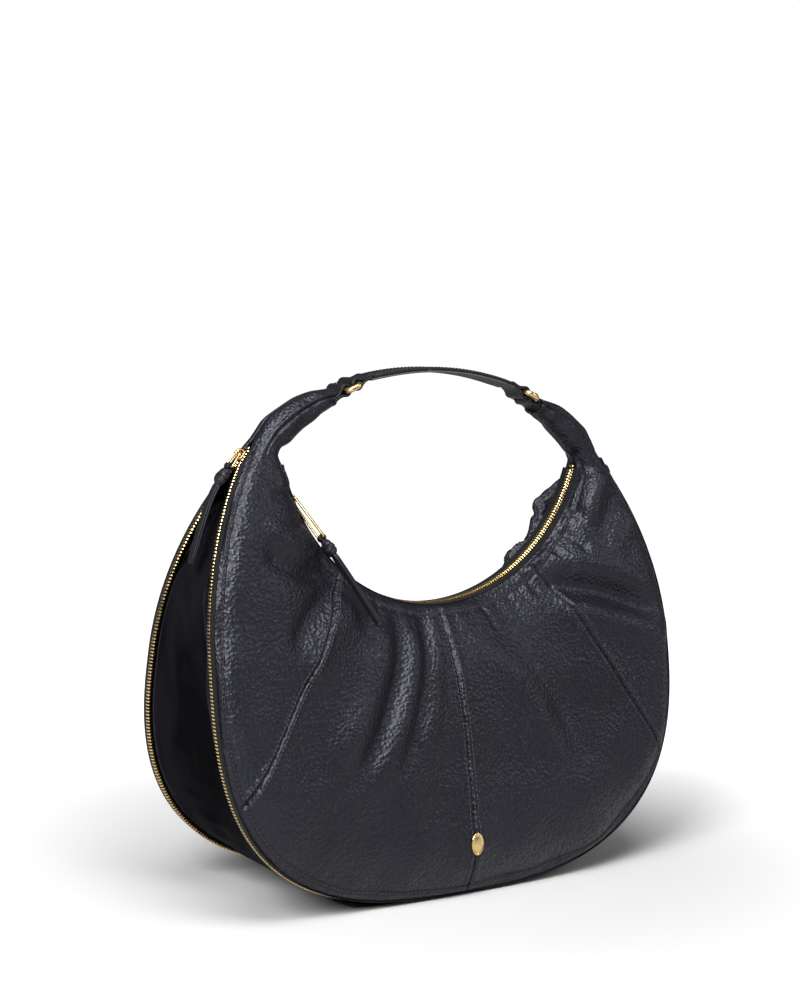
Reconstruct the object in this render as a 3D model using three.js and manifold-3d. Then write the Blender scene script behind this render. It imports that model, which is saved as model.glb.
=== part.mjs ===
// Slouchy hobo bag: two crescent faces of padded leather joined by a suede expansion gusset,
// a zip across the mouth, a zip all round the gusset, and a short strap on two metal rings.
// Millimetres, +Z up, +X to the right, -Y is the front. The bag stands on the gusset at z = 0.
import * as THREE from 'three';
import { mergeVertices } from 'three/addons/utils/BufferGeometryUtils.js';
import Module from 'manifold-3d';

const wasm = await Module();
wasm.setup();

// Outline of the faces
const body_width = 428;
const widest_height = 185;
const shoulder_reach = 232;
const base_squareness = 2.8;
const rim_sweep = 130;
const rim_base = 3;
// Depth
const base_depth = 112;
const full_depth_height = 40;
const closed_below_shoulder = 14;
const bulge = 24;
const shoulder_bulge = 6;
// Mouth
const mouth_margin = 64;
const mouth_sweep = 76;
const mouth_centre_rise = 29.87;
const mouth_gap = 16;
// Sheets
const leather = 2;
const suede = 1.6;
const lining = 0.8;
const padding = 3;
const pocket_gap = 2;
const pleat_depth = 24;
const seam_at = 0.5;
const panel_end = 0.97;
const gusset_seam_at = 0.1;
const gusset_end = 0.9;
const gap = 0.3;
const edge_gap = 0.8;
// Zips
const tape = 0.8;
const chain_gap = 0.8;
const tooth_width = 1.6;
const tooth_reach = 1.3;
const tape_width = 5.5;
const slider_length = 9;
const slider_width = 8.4;
const slider_plate = 1;
const mouth_slider_at = -62;
const expansion_slider_at = -127.3;
// Pulls
const pull_wire = 1;
const stirrup_length = 36;
const pull_ring_length = 12;
const knot_length = 15;
const knot_width = 13;
const tail_width = 6.5;
const tail_thickness = 3;
const mouth_tail_hang = [35, -28, -61];
const expansion_tail_hang = [-28, 0, -69];
// Handle
const ring_wire = 2.2;
const ring_pitch = 11;
const ring_half_width = 15;
const ring_tilt = 27;
const ring_reach = 91;
const arm_rise = 38.69;
const ring_clearance = 0.9;
const loop_leather = 1.9;
const loop_width = 21;
const arm_foot = 12.5;
const arm_bend_step = 26;
const arm_end_width = 9;
const strap_width = 26;
const strap_rise = 14;
const backing = 1.6;
// Ornament
const ornament_width = 11;
const ornament_height = 17;
const ornament_level = 42;

const deg = Math.PI / 180;
const mix = (a, b, k) => a + (b - a) * k;
const step = (x) => { const k = Math.min(1, Math.max(0, x)); return k * k * (3 - 2 * k); };
const power = (c, p) => Math.sign(c) * Math.abs(c) ** p;

const look = (color, roughness, metalness = 0) => ({ color, roughness, metalness });
const black_leather = look(0x29292e, 0.5);
const black_suede = look(0x121217, 0.95);
const zip_tape = look(0x101013, 0.85);
const gold = look(0xe3b964, 0.28, 1);
const cloth = look(0x34302f, 0.9);
const strap_backing = look(0x5a5c55, 0.8);

const group = new THREE.Group();
group.name = 'hobo_bag';

function add(name, geometry, surface, x_side = 1, y_side = 1) {
  const mesh = new THREE.Mesh(geometry, new THREE.MeshStandardMaterial(surface));
  mesh.name = name;
  mesh.scale.set(x_side, y_side, 1);
  group.add(mesh);
}

// A box of nu x nv x nw cells drawn onto the solid that place(u, v, w) describes, each 0 to 1
function solid(place, nu, nv, nw) {
  const geometry = new THREE.BoxGeometry(1, 1, 1, nu, nv, nw);
  const p = geometry.attributes.position;
  for (let i = 0; i < p.count; i++) {
    p.setXYZ(i, ...place(p.getX(i) + 0.5, p.getY(i) + 0.5, p.getZ(i) + 0.5));
  }
  return geometry;
}

const oriented = (geometry, origin, x_axis, z_axis) => {
  const x = new THREE.Vector3(...x_axis).normalize();
  const z = new THREE.Vector3(...z_axis).normalize();
  const y = z.clone().cross(x);
  return geometry.applyMatrix4(new THREE.Matrix4().makeBasis(x, y, z).setPosition(...origin));
};

function manifold(geometry) {
  const bare = geometry.clone().deleteAttribute('normal').deleteAttribute('uv');
  const g = mergeVertices(bare, 1e-4);
  return new wasm.Manifold(new wasm.Mesh({
    numProp: 3,
    vertProperties: new Float32Array(g.attributes.position.array),
    triVerts: new Uint32Array(g.index.array),
  }));
}

function joined(...geometries) {
  const m = geometries.map(manifold).reduce((a, b) => a.add(b)).getMesh();
  const g = new THREE.BufferGeometry();
  g.setAttribute('position', new THREE.BufferAttribute(new Float32Array(m.vertProperties), 3));
  g.setIndex(new THREE.BufferAttribute(new Uint32Array(m.triVerts), 1));
  g.computeVertexNormals();
  return g;
}

// Outer rim of a face, s = -1 at the left shoulder, 0 at the base, 1 at the right shoulder
function rim(s) {
  const t = s * rim_sweep * deg;
  if (Math.abs(t) > Math.PI / 2) {
    return [body_width / 2 * Math.sin(t), widest_height - shoulder_reach * Math.cos(t)];
  }
  const p = 2 / base_squareness;
  return [body_width / 2 * power(Math.sin(t), p),
    widest_height - (widest_height - rim_base) * power(Math.cos(t), p)];
}

// Mouth edge, run the same way: an arc about a centre that stands above the shoulders
const mouth_radius = body_width / 2 - mouth_margin;
const mouth_height = rim(1)[1] + mouth_centre_rise;
const mouth = (s) => {
  const t = s * mouth_sweep * deg;
  return [mouth_radius * Math.sin(t), mouth_height - mouth_radius * Math.cos(t)];
};

// Unit direction out of a curve, away from the middle of the mouth
function outward(curve, s) {
  const [ax, az] = curve(s - 1e-4);
  const [bx, bz] = curve(s + 1e-4);
  const length = Math.hypot(bx - ax, bz - az);
  return [(bz - az) / length, -(bx - ax) / length];
}

function offset(curve, s, out) {
  const [x, z] = curve(s);
  const [nx, nz] = outward(curve, s);
  return [x + nx * out, z + nz * out];
}

// Half the distance between the two tooth rows of the expansion zip at a height
const closed_row = chain_gap + tooth_width / 2;
const closed_height = rim(1)[1] - closed_below_shoulder;
function row_depth(z) {
  const k = Math.min(1, Math.max(0, z - full_depth_height) / (closed_height - full_depth_height));
  return mix(base_depth / 2, closed_row, k * k);
}

const rim_land = tooth_width / 2 + gap + tape_width;

// Front face: s along the crescent, v from the mouth (0) to the rim (1), inset into the bag
function face(s, v, inset) {
  const [mx, mz] = mouth(s);
  const [rx, rz] = rim(s);
  const flat = mix(mouth_gap / 2 + leather, row_depth(rz) + rim_land, v);
  const swell = mix(bulge, shoulder_bulge, s * s) * (1 - (2 * v - 1) ** 4);
  return [mix(mx, rx, v), inset - flat - swell, mix(mz, rz, v)];
}

const sheet = (s0, s1, v0, v1, inset, thickness, nu, nv) =>
  solid((u, v, w) => face(mix(s0, s1, u), mix(v0, v1, v), inset + w * thickness), nu, nv, 1);

// Band that follows a curve: out0 to out1 across it, depth y0(z) to y1(z)
const band = (curve, s0, s1, out0, out1, y0, y1, nu) => solid((u, v, w) => {
  const s = mix(s0, s1, u);
  const [x, z] = offset(curve, s, mix(out0, out1, v));
  const level = curve(s)[1];
  return [x, mix(y0(level), y1(level), w), z];
}, nu, 1, 1);

// ---- Leather faces: four gores each, sewn edge to edge ----
const seam = 0.0005;
for (const [side, y_side] of [['front', 1], ['rear', -1]]) {
  for (const [hand, x_side] of [['left', -1], ['right', 1]]) {
    add(`${side}_inner_${hand}_panel`,
      sheet(0, seam_at - seam, 0, 1, 0, leather, 7, 10).translate(gap / 2, 0, 0),
      black_leather, x_side, y_side);
    add(`${side}_outer_${hand}_panel`,
      sheet(seam_at + seam, panel_end, 0, 1, 0, leather, 8, 9).translate(gap / 2, 0, 0),
      black_leather, x_side, y_side);
  }
  add(`${side}_lining`, sheet(-0.9, 0.9, 0.06, 0.96, leather + padding, lining, 16, 8),
    cloth, 1, y_side);
}

// Slip pocket hung on the rear lining, open along its top edge
add('slip_pocket', sheet(-0.3, 0.3, 0.32, 0.72, leather + padding + lining + pocket_gap, lining, 6, 4),
  cloth, 1, -1);

// ---- Expansion gusset: a flat base strip that the bag stands on and a pleated strip up each
// side, sewn end to end ----
const foot_half = gusset_end / 12;
function gusset(s, y_share, inset) {
  const [x, z] = rim(s);
  const [nx, nz] = outward(rim, s);
  const width = row_depth(z) - tooth_width / 2 - 2 * gap;
  const rise = step((Math.abs(s) - foot_half) / 0.2);
  const fold = step((Math.abs(s) - 0.24) / 0.22) * (1 - step((Math.abs(s) - 0.6) / 0.3));
  const pleat = pleat_depth * fold * (1 - Math.abs(y_share) ** 1.3);
  const recess = tooth_reach + 2 * gap + pleat;
  return [mix(x, x - nx * recess, rise) - nx * inset, width * y_share,
    mix(0, z - nz * recess, rise) - nz * inset];
}
const gusset_sheet = (s0, s1, share, inset, thickness, cells) => solid((u, v, w) =>
  gusset(mix(s0, s1, u), (2 * w - 1) * share, inset + (1 - v) * thickness), cells, 1, 6);
add('gusset_base', gusset_sheet(-gusset_seam_at + seam, gusset_seam_at - seam, 1, 0, suede, 4),
  black_suede);
for (const [hand, x_side] of [['left', -1], ['right', 1]]) {
  add(`gusset_${hand}_side`, gusset_sheet(gusset_seam_at, gusset_end, 1, 0, suede, 16),
    black_suede, x_side);
}
add('gusset_lining', gusset_sheet(-gusset_end, gusset_end, 0.92, suede + padding, lining, 36),
  cloth);

// ---- Zip chains: a tooth row and its tape on each side ----
const row_inner = (z) => row_depth(z) - tooth_width / 2;
const row_outer = (z) => row_depth(z) + tooth_width / 2;
const constant = (value) => () => value;
const chain_outer = chain_gap + tooth_width;
const mouth_chain = 73.5 / mouth_sweep;
const rim_chain = 0.99;
for (const [side, y_side] of [['front', -1], ['rear', 1]]) {
  add(`expansion_teeth_${side}`, band(rim, -rim_chain, rim_chain,
    edge_gap + tape / 2 - tooth_reach, edge_gap + tape / 2 + tooth_reach,
    row_inner, row_outer, 46), gold, 1, y_side);
  add(`expansion_tape_${side}`, band(rim, -rim_chain, rim_chain, edge_gap, edge_gap + tape,
    (z) => row_outer(z) + gap, (z) => row_outer(z) + gap + tape_width, 46), zip_tape, 1, y_side);
  add(`mouth_teeth_${side}`, band(mouth, -mouth_chain, mouth_chain,
    -gap - tape / 2 - tooth_reach, -gap - tape / 2 + tooth_reach,
    constant(chain_gap), constant(chain_outer), 28), gold, 1, y_side);
  add(`mouth_tape_${side}`, band(mouth, -mouth_chain, mouth_chain, -gap - tape, -gap,
    constant(chain_outer + gap), constant(mouth_gap / 2 + leather), 28), zip_tape, 1, y_side);
}

// Stops: a staple of metal just past the end of each chain
function stop(name, curve, s, out) {
  const [x, z] = offset(curve, s, out);
  const [nx, nz] = outward(curve, s);
  add(name, oriented(new THREE.BoxGeometry(2.4, 2 * chain_outer, 2 * tooth_reach),
    [x, 0, z], [-nz, 0, nx], [nx, 0, nz]), gold);
}
const stop_step = (1.2 + gap) / (mouth_radius * mouth_sweep * deg);
stop('mouth_stop_left', mouth, -mouth_chain - stop_step, -gap - tape / 2);
stop('mouth_stop_right', mouth, mouth_chain + stop_step, -gap - tape / 2);
stop('expansion_stop', rim, -rim_chain - 0.0035, edge_gap + tape / 2);

// Leather tab folded over the far end of the expansion zip
{
  const [x, z] = offset(rim, 0.962, edge_gap + tape / 2 + tooth_reach + gap + 2);
  const [nx, nz] = outward(rim, 0.962);
  add('expansion_end_tab', oriented(new THREE.BoxGeometry(9, 11, 4), [x, 0, z],
    [-nz, 0, nx], [nx, 0, nz]), black_leather);
}

// ---- Sliders: two plates on a post, with an eye for the pull ----
const pin_height = tooth_reach + gap * 2 + slider_plate + 2.1;
const eye_hole = 1.9;
const eye_radius = 3;
function slider() {
  const plate_at = tooth_reach + gap * 2 + slider_plate / 2;
  const plate = (z) => new THREE.BoxGeometry(slider_length, slider_width, slider_plate)
    .translate(0, 0, z);
  const post = new THREE.BoxGeometry(2.2, 2 * (chain_gap - gap), 2 * plate_at)
    .translate(slider_length / 2 - 1.6, 0, 0);
  const outline = new THREE.Shape().moveTo(-eye_radius, plate_at)
    .lineTo(eye_radius, plate_at).lineTo(eye_radius, pin_height)
    .absarc(0, pin_height, eye_radius, 0, Math.PI, false);
  outline.holes.push(new THREE.Path().absarc(0, pin_height, eye_hole, 0, 2 * Math.PI, true));
  const eye = new THREE.ExtrudeGeometry(outline, { depth: 2, bevelEnabled: false,
    curveSegments: 10 }).translate(0, 0, -1).rotateX(Math.PI / 2);
  return joined(plate(plate_at), plate(-plate_at), post, eye);
}

// Round wire bent to a closed flat outline in the XY plane
function wire(outline, radius) {
  const count = 28;
  let points = outline.getSpacedPoints(count).slice(0, count);
  if (THREE.ShapeUtils.area(points) < 0) points = points.reverse();
  const geometry = new THREE.TorusGeometry(1, 0.25, 6, count);
  const p = geometry.attributes.position;
  for (let i = 0; i < p.count; i++) {
    const turn = Math.atan2(p.getY(i), p.getX(i)) / (2 * Math.PI);
    const k = (Math.round(turn * count) + count) % count;
    const before = points[(k + count - 1) % count];
    const after = points[(k + 1) % count];
    const side = new THREE.Vector2(after.y - before.y, before.x - after.x).normalize();
    const out = (Math.hypot(p.getX(i), p.getY(i)) - 1) * 4 * radius;
    p.setXYZ(i, points[k].x + side.x * out, points[k].y + side.y * out, p.getZ(i) * 4 * radius);
  }
  return geometry;
}

// Pull wire along +X from its pin at the origin, wider at the far end; its width runs along Y
function pull_outline(length, near, far) {
  const r = 1.6;
  return new THREE.Shape().moveTo(0, near - r).quadraticCurveTo(0, near, r, near)
    .lineTo(length - r, far).quadraticCurveTo(length, far, length, far - r)
    .lineTo(length, r - far).quadraticCurveTo(length, -far, length - r, -far)
    .lineTo(r, -near).quadraticCurveTo(0, -near, 0, r - near).closePath();
}

// Knot of a leather thong along +X, looped over a wire at the origin
function knot() {
  const outline = new THREE.Shape().absarc(0, 0, 3, 0.9, 2 * Math.PI - 0.9, false)
    .lineTo(5, -1.6).lineTo(5, 1.6);
  outline.holes.push(new THREE.Path().absarc(0, 0, 1.5, 0, 2 * Math.PI, true));
  const eye = new THREE.ExtrudeGeometry(outline, { depth: 3.4, bevelEnabled: false,
    curveSegments: 10 }).translate(0, 0, -1.7).rotateX(Math.PI / 2);
  const ball = new THREE.SphereGeometry(1, 12, 8)
    .scale(knot_length / 2 - 1, knot_width / 2, 4.6).translate(knot_length / 2 + 2.2, 0, 0);
  return joined(eye, ball);
}

// Flat strip along a curve from a to c by way of b, its width along the given direction
function ribbon(a, b, c, across, width, thickness, cells) {
  const path = new THREE.QuadraticBezierCurve3(...[a, b, c].map((q) => new THREE.Vector3(...q)));
  return solid((u, v, w) => {
    const along = path.getTangent(v);
    const side = new THREE.Vector3(...across);
    side.addScaledVector(along, -side.dot(along)).normalize();
    const up = side.clone().cross(along);
    const taper = mix(1, 0.8, step((v - 0.92) / 0.08));
    const q = path.getPoint(v).addScaledVector(side, (u - 0.5) * width * taper)
      .addScaledVector(up, (w - 0.5) * thickness);
    return [q.x, q.y, q.z];
  }, 1, cells, 1);
}

// One zip pull: slider on its curve, wire on the slider, knot and tail on the wire; hang goes
// from the end of the wire to the end of the tail
function zip_pull(name, curve, s, out, out_side, wire_name, length, near, far, lean, hang) {
  const [x, z] = offset(curve, s, out);
  const [nx, nz] = outward(curve, s).map((c) => c * out_side);
  const along = [-nz * out_side, 0, nx * out_side];
  const pin = new THREE.Vector3(x + nx * pin_height, 0, z + nz * pin_height);
  add(`${name}_slider`, oriented(slider(), [x, 0, z], along, [nx, 0, nz]), gold);
  const pull = new THREE.Vector3(along[0], -Math.tan(lean * deg), along[2]).normalize();
  const up = new THREE.Vector3(nx, 0, nz);
  const place = (geometry, start) => oriented(geometry, start.toArray(), pull.toArray(),
    up.toArray());
  add(`${name}_${wire_name}`, place(wire(pull_outline(length, near, far), pull_wire), pin), gold);
  const end = pin.clone().addScaledVector(pull, length);
  add(`${name}_pull_knot`, place(knot(), end), black_leather);
  const root = end.clone().addScaledVector(pull, knot_length + 1.2 + gap);
  const bend = root.clone().addScaledVector(pull, 14);
  const across = up.clone().cross(pull);
  const tail = end.toArray().map((c, i) => c + hang[i]);
  add(`${name}_pull_tail`, ribbon(root.toArray(), bend.toArray(), tail, across.toArray(),
    tail_width, tail_thickness, 8), black_leather);
}
zip_pull('mouth', mouth, mouth_slider_at / mouth_sweep, -gap - tape / 2, -1,
  'pull_stirrup', stirrup_length, 3.7, 4.8, 30, mouth_tail_hang);
zip_pull('expansion', rim, expansion_slider_at / rim_sweep, edge_gap + tape / 2, 1,
  'pull_ring', pull_ring_length, 3.7, 4.8, 0, expansion_tail_hang);

// ---- Handle: arm, loop and ring on each side, strap between ----
// Each arm springs from a ball whose surface passes through the ends of the mouth and the rim
const [mouth_end, rim_end] = [mouth(1), rim(1)];
const ends = [(rim_end[0] - mouth_end[0]) / 2, (rim_end[1] - mouth_end[1]) / 2];
const foot_out = Math.sqrt(Math.max(0, arm_foot ** 2 - ends[0] ** 2 - ends[1] ** 2))
  / Math.hypot(...ends);
const arm_foot_at = [-(mouth_end[0] + ends[0] - ends[1] * foot_out), 0,
  mouth_end[1] + ends[1] + ends[0] * foot_out];
const tilt = ring_tilt * deg;
const link = [Math.cos(tilt), 0, Math.sin(tilt)];
const arm_pivot = [-ring_reach, 0, arm_foot_at[2] + arm_rise];
const strap_pivot = arm_pivot.map((c, i) => c + ring_pitch * link[i]);
const loop_hole = ring_wire + ring_clearance;
const loop_outer = loop_hole + loop_leather;
const loop_root = 12;

// Leather loop round a ring bar: a hole at the origin and a root that runs along +X
function ring_loop(length) {
  const turn = 0.75;
  const outline = new THREE.Shape().absarc(0, 0, loop_outer, turn, 2 * Math.PI - turn, false)
    .lineTo(length, -2).lineTo(length, 2);
  outline.holes.push(new THREE.Path().absarc(0, 0, loop_hole, 0, 2 * Math.PI, true));
  return new THREE.ExtrudeGeometry(outline, { depth: loop_width, bevelEnabled: false,
    curveSegments: 14 }).translate(0, 0, -loop_width / 2).rotateX(Math.PI / 2);
}

const arm_way = new THREE.Vector3(-0.77, 0, -0.638).normalize();
const arm_top = new THREE.Vector3(...arm_pivot).addScaledVector(arm_way, loop_root + gap);
const arm_base = new THREE.Vector3(...arm_foot_at);
const arm_bend = arm_base.clone().add(new THREE.Vector3(arm_bend_step, 0, arm_bend_step));
const arm_path = new THREE.QuadraticBezierCurve3(arm_base, arm_bend, arm_top);
const foot_share = 0.3;

// Padded arm: a ball at the foot, so that it can fold over, tapering up to its loop
function arm() {
  const geometry = new THREE.SphereGeometry(1, 16, 14);
  const p = geometry.attributes.position;
  for (let i = 0; i < p.count; i++) {
    const t = Math.acos(Math.min(1, Math.max(-1, p.getY(i)))) / Math.PI;
    const ring = Math.hypot(p.getX(i), p.getZ(i)) || 1;
    const k = Math.max(0, (t - foot_share) / (1 - foot_share));
    const way = arm_path.getTangent(k);
    const side = way.clone().cross(new THREE.Vector3(0, 1, 0));
    const centre = arm_path.getPoint(Math.min(1, k * 1.04));
    const round = Math.sin(Math.min(1, t / foot_share) * Math.PI / 2);
    if (t < foot_share) {
      centre.addScaledVector(way, -arm_foot * Math.cos(t / foot_share * Math.PI / 2));
    }
    const close = Math.sqrt(Math.max(0, 1 - Math.max(0, (k - 0.9) / 0.1) ** 2));
    const depth = arm_foot * round * mix(1, 0.86, k) * close;
    const width = mix(arm_foot, arm_end_width, k) * round * close;
    const q = centre.addScaledVector(side, p.getZ(i) / ring * width);
    p.setXYZ(i, q.x, q.y + p.getX(i) / ring * depth, q.z);
  }
  return geometry;
}

function ring() {
  const h = ring_half_width;
  const w = ring_pitch / 2;
  const r = 4;
  const outline = new THREE.Shape().moveTo(w, -h + r).lineTo(w, h - r)
    .absarc(w - r, h - r, r, 0, Math.PI / 2, false).lineTo(r - w, h)
    .absarc(r - w, h - r, r, Math.PI / 2, Math.PI, false).lineTo(-w, r - h)
    .absarc(r - w, r - h, r, Math.PI, 1.5 * Math.PI, false).lineTo(w - r, -h)
    .absarc(w - r, r - h, r, 1.5 * Math.PI, 2 * Math.PI, false);
  return wire(outline, ring_wire);
}

const across_link = [-link[2], 0, link[0]];
const ring_centre = arm_pivot.map((c, i) => c + ring_pitch / 2 * link[i]);
for (const [hand, x_side] of [['left', 1], ['right', -1]]) {
  add(`${hand}_arm`, arm(), black_leather, x_side);
  add(`${hand}_arm_loop`, oriented(ring_loop(loop_root), arm_pivot, arm_way.toArray(),
    [-arm_way.z, 0, arm_way.x]), black_leather, x_side);
  add(`${hand}_ring`, oriented(ring(), ring_centre, link, across_link), gold, x_side);
  add(`strap_loop_${hand}`, oriented(ring_loop(loop_root), strap_pivot, link, across_link),
    black_leather, x_side);
}

// The strap springs from its loops and crowns strap_rise above its pivots
const strap_half = Math.abs(strap_pivot[0] + (loop_root + 4 * gap) * link[0]);
const strap_foot = strap_pivot[2] + (loop_root + 4 * gap) * link[2];
const strap_crown = strap_pivot[2] + strap_rise - strap_foot;
const strap_radius = (strap_half ** 2 + strap_crown ** 2) / (2 * strap_crown);
const strap_span = Math.asin(strap_half / strap_radius);
const strap_layer = (top, thickness, width) => solid((u, v, w) => {
  const a = mix(-strap_span, strap_span, u);
  const r = strap_radius + top - v * thickness;
  return [r * Math.sin(a), (w - 0.5) * width,
    strap_foot + strap_crown - strap_radius + r * Math.cos(a)];
}, 20, 1, 1);
add('handle_strap', strap_layer(leather, leather, strap_width), black_leather);
add('handle_strap_backing', strap_layer(-gap, backing, strap_width - 1), strap_backing);

// ---- Ornament: a plain oval plate low on the middle seam, riveted through to a washer ----
const plate_v = (mouth(0)[1] - ornament_level) / (mouth(0)[1] - rim(0)[1]);
const plate_at = face(0, plate_v, 0);
const [above, below] = [face(0, plate_v - 0.02, 0), face(0, plate_v + 0.02, 0)];
const plate_up = [0, above[1] - below[1], above[2] - below[2]];
const disc = (width, height, thickness, out) => {
  const geometry = new THREE.CylinderGeometry(0.5, 0.5, thickness, 28).rotateX(Math.PI / 2)
    .scale(width, height, 1).translate(0, 0, out);
  return oriented(geometry, plate_at, [1, 0, 0], [0, -plate_up[2], plate_up[1]]);
};
add('ornament_plate', disc(ornament_width, ornament_height, 1.4, 0.7 + gap), gold);
add('ornament_washer', disc(7, 7, 0.6, -leather - 4 * gap - 0.3), gold);

export default group;
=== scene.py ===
# Hobo bag in black pebbled leather with a suede expansion gusset, a zip across the mouth, a zip
# all round the gusset and a short strap on two metal rings. Metres, +Z up, the front faces -Y.
import math

import bpy
import numpy as np
from mathutils import Matrix, Vector


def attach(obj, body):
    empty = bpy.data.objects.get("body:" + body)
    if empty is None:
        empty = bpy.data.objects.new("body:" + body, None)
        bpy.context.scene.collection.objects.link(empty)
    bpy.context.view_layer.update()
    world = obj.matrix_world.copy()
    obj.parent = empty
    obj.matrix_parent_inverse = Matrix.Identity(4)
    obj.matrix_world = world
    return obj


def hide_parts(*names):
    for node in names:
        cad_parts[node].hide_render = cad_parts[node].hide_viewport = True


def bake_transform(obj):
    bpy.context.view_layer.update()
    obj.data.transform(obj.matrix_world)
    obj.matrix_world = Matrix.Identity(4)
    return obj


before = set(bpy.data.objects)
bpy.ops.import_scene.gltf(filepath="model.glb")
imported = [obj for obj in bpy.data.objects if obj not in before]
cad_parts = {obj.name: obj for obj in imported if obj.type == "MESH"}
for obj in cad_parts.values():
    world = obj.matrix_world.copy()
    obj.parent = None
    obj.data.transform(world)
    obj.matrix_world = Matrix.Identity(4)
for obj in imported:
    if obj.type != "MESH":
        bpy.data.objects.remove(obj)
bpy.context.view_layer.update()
MM = 0.001

# ---- Camera ----
# Long lens a little above the handle's height, off the bag's front left corner.
EYE = Vector((-0.7666, -1.0129, 0.3733))
SIGHT = Vector((0.5866, 0.8074, -0.0623)).normalized()
ROLL = math.radians(2.5)
camera = bpy.data.objects.new("camera", bpy.data.cameras.new("camera"))
camera.data.sensor_width = 36
camera.data.lens = 58.9
level = SIGHT.cross(Vector((0, 0, 1))).normalized()
upright = level.cross(SIGHT)
across = level * math.cos(ROLL) + upright * math.sin(ROLL)
turned = Matrix((across, across.cross(SIGHT), -SIGHT)).transposed()
camera.matrix_world = Matrix.Translation(EYE) @ turned.to_4x4()
bpy.context.scene.collection.objects.link(camera)
bpy.context.scene.camera = camera

# ---- Light ----
# White studio: a bright backdrop, even fill from all round, a large soft box front left, a
# weaker one front right and a wide one overhead.
bpy.context.scene.view_settings.view_transform = "Standard"
world = bpy.data.worlds.new("studio")
bpy.context.scene.world = world
world.use_nodes = True
fill = world.node_tree.nodes["Background"]
fill.inputs["Color"].default_value = (1.0, 1.0, 1.0, 1)
fill.inputs["Strength"].default_value = 0.12
backdrop = world.node_tree.nodes.new("ShaderNodeBackground")
backdrop.inputs["Color"].default_value = (1.0, 1.0, 1.0, 1)
backdrop.inputs["Strength"].default_value = 1.05
seen = world.node_tree.nodes.new("ShaderNodeLightPath")
either = world.node_tree.nodes.new("ShaderNodeMixShader")
world.node_tree.links.new(seen.outputs["Is Camera Ray"], either.inputs["Fac"])
world.node_tree.links.new(fill.outputs["Background"], either.inputs[1])
world.node_tree.links.new(backdrop.outputs["Background"], either.inputs[2])
world.node_tree.links.new(either.outputs["Shader"],
                          world.node_tree.nodes["World Output"].inputs["Surface"])


def soft_box(name, place, aim, size, watts):
    """A rectangular lamp at place that faces aim."""
    lamp = bpy.data.lights.new(name, "AREA")
    lamp.shape, lamp.size, lamp.size_y, lamp.energy = "RECTANGLE", size[0], size[1], watts
    holder = bpy.data.objects.new(name, lamp)
    holder.matrix_world = Matrix.Translation(place) @ (
        (Vector(aim) - Vector(place)).to_track_quat("-Z", "Y").to_matrix().to_4x4())
    bpy.context.scene.collection.objects.link(holder)


soft_box("soft_box_left", (-1.5, -0.9, 1.3), (0, 0, 0.2), (0.7, 1.1), 62)
soft_box("soft_box_right", (1.3, -1.3, 1.1), (0, 0, 0.2), (0.8, 1.0), 9)
soft_box("soft_box_top", (-0.45, -0.65, 1.9), (0, 0, 0.2), (1.1, 0.8), 34)


# ---- Leather faces and arms ----
# Each face is four gores of soft pebbled cowhide sewn side by side, padded behind, that run on
# at both shoulders into one half of the tubular arms. Front and rear meet in a ridge seam.
def numbered_mesh(name, points, faces):
    """Mesh object from an (n, 3) array in metres and lists of corner numbers."""
    mesh = bpy.data.meshes.new(name)
    mesh.from_pydata(np.asarray(points).tolist(), [], faces)
    mesh.update()
    mesh.shade_smooth()
    piece = bpy.data.objects.new(name, mesh)
    bpy.context.scene.collection.objects.link(piece)
    return piece


def grid_faces(rows, columns, first=0, close_rows=False, close_columns=False, flip=False):
    """Quads of a rows x columns grid of points numbered row by row from first."""
    i = np.arange(rows if close_rows else rows - 1)[:, None]
    j = np.arange(columns if close_columns else columns - 1)[None, :]
    i2, j2 = (i + 1) % rows, (j + 1) % columns
    quads = np.stack(np.broadcast_arrays(
        i * columns + j, i2 * columns + j, i2 * columns + j2, i * columns + j2), -1)
    quads = quads.reshape(-1, 4) + first
    return (quads[:, ::-1] if flip else quads).tolist()


def mix(a, b, k):
    """a where k is 0, b where it is 1, and in between in proportion."""
    return a + (b - a) * k


def smooth(x):
    """0 below 0, 1 above 1, and an S-shaped step between."""
    k = np.clip(x, 0, 1)
    return k * k * (3 - 2 * k)


def power(c, p):
    """Power of a size that keeps its sign."""
    return np.sign(c) * np.abs(c) ** p


def hump(x, width):
    """Bell curve of height 1 about x = 0."""
    return np.exp(-(x / width) ** 2)


RIM_DEGREES, RIM_HALF_WIDTH, RIM_SQUARENESS = 130, 214, 2.8
WIDEST_HEIGHT, BASE_DROP, SHOULDER_REACH = 185, 182, 232
MOUTH_DEGREES, MOUTH_RADIUS, MOUTH_CENTRE = 76, 150, 364
BASE_HALF, CLOSED_HALF = 56, 1.6


def rim_curve(s):
    """Outer edge in mm: half a squarish ellipse below the widest point, half an ellipse above."""
    t = s * math.radians(RIM_DEGREES)
    low, p = np.abs(t) <= math.pi / 2, 2 / RIM_SQUARENESS
    x = RIM_HALF_WIDTH * np.where(low, power(np.sin(t), p), np.sin(t))
    z = WIDEST_HEIGHT - np.where(low, BASE_DROP * power(np.cos(t), p), SHOULDER_REACH * np.cos(t))
    return x, z


def mouth_curve(s):
    """Mouth edge in mm: an arc about a point above the middle of the base."""
    t = s * math.radians(MOUTH_DEGREES)
    return MOUTH_RADIUS * np.sin(t), MOUTH_CENTRE - MOUTH_RADIUS * np.cos(t)


def row_depth(z):
    """Half the distance between the tooth rows in mm at height z: full up to 40, then falling
    as a square until the rows meet at 320."""
    k = np.clip((z - 40) / 280, 0, 1)
    return mix(BASE_HALF, CLOSED_HALF, k * k)


def face_length(s):
    """Length of a face in mm from mouth to rim, by the square of the distance from the middle."""
    return mix(211, 100, np.clip(np.abs(s), 0, 1) ** 2)


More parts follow.
